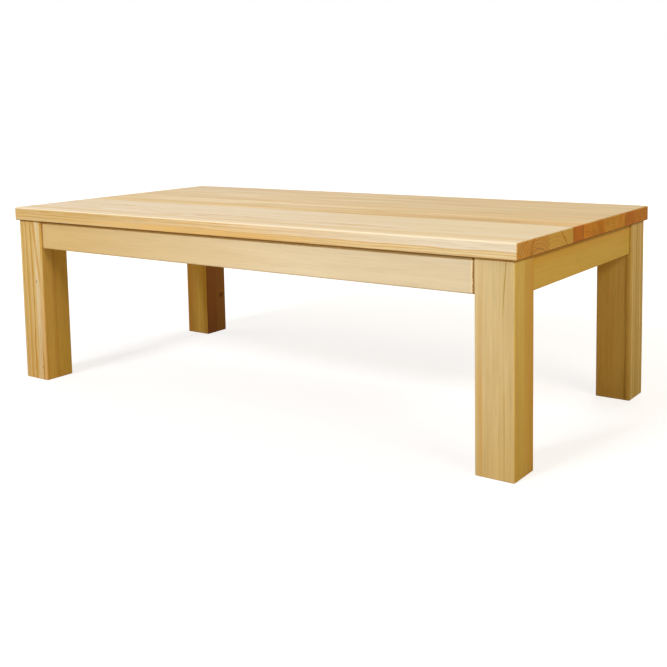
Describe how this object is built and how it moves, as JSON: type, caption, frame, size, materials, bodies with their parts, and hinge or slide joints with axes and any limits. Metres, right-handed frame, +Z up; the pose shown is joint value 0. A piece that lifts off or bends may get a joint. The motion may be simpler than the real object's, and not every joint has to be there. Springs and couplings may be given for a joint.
{
  "type": "low table",
  "caption": "Low rectangular table in clear-lacquered solid pine, with an edge-glued plank top, square corner legs and set-back aprons, for use while sitting on the floor.",
  "frame": {"origin": "on the floor, under the middle of the top", "axes": "+X along the table's length to the right, +Y to the back, +Z up"},
  "size_m": [1.2, 0.6, 0.38],
  "materials": {
    "pine_top": "clear satin lacquer on planed pine",
    "pine_legs": "clear satin lacquer on planed pine",
    "pine_aprons": "clear satin lacquer on planed pine",
    "pine_inside": "planed pine, sealed thinly",
    "steel_screws": "zinc-plated steel"
  },
  "bodies": {
    "root": {"back_apron": "pine_aprons", "back_buttons": "pine_inside", "back_left_corner_block": "pine_inside", "back_left_leg_back_half": "pine_legs", "back_left_leg_front_half": "pine_legs", "back_right_corner_block": "pine_inside", "back_right_leg_back_half": "pine_legs", "back_right_leg_front_half": "pine_legs", "button_screws": "steel_screws", "centre_rail": "pine_inside", "corner_block_screws": "steel_screws", "front_apron": "pine_aprons", "front_buttons": "pine_inside", "front_left_corner_block": "pine_inside", "front_left_leg_back_half": "pine_legs", "front_left_leg_front_half": "pine_legs", "front_right_corner_block": "pine_inside", "front_right_leg_back_half": "pine_legs", "front_right_leg_front_half": "pine_legs", "left_apron": "pine_aprons", "left_buttons": "pine_inside", "rail_screws": "steel_screws", "right_apron": "pine_aprons", "right_buttons": "pine_inside", "top_board_1": "pine_top", "top_board_2": "pine_top", "top_board_3": "pine_top", "top_board_4": "pine_top", "top_board_5": "pine_top", "top_board_6": "pine_top", "top_board_7": "pine_top"}
  },
  "joints": []
}
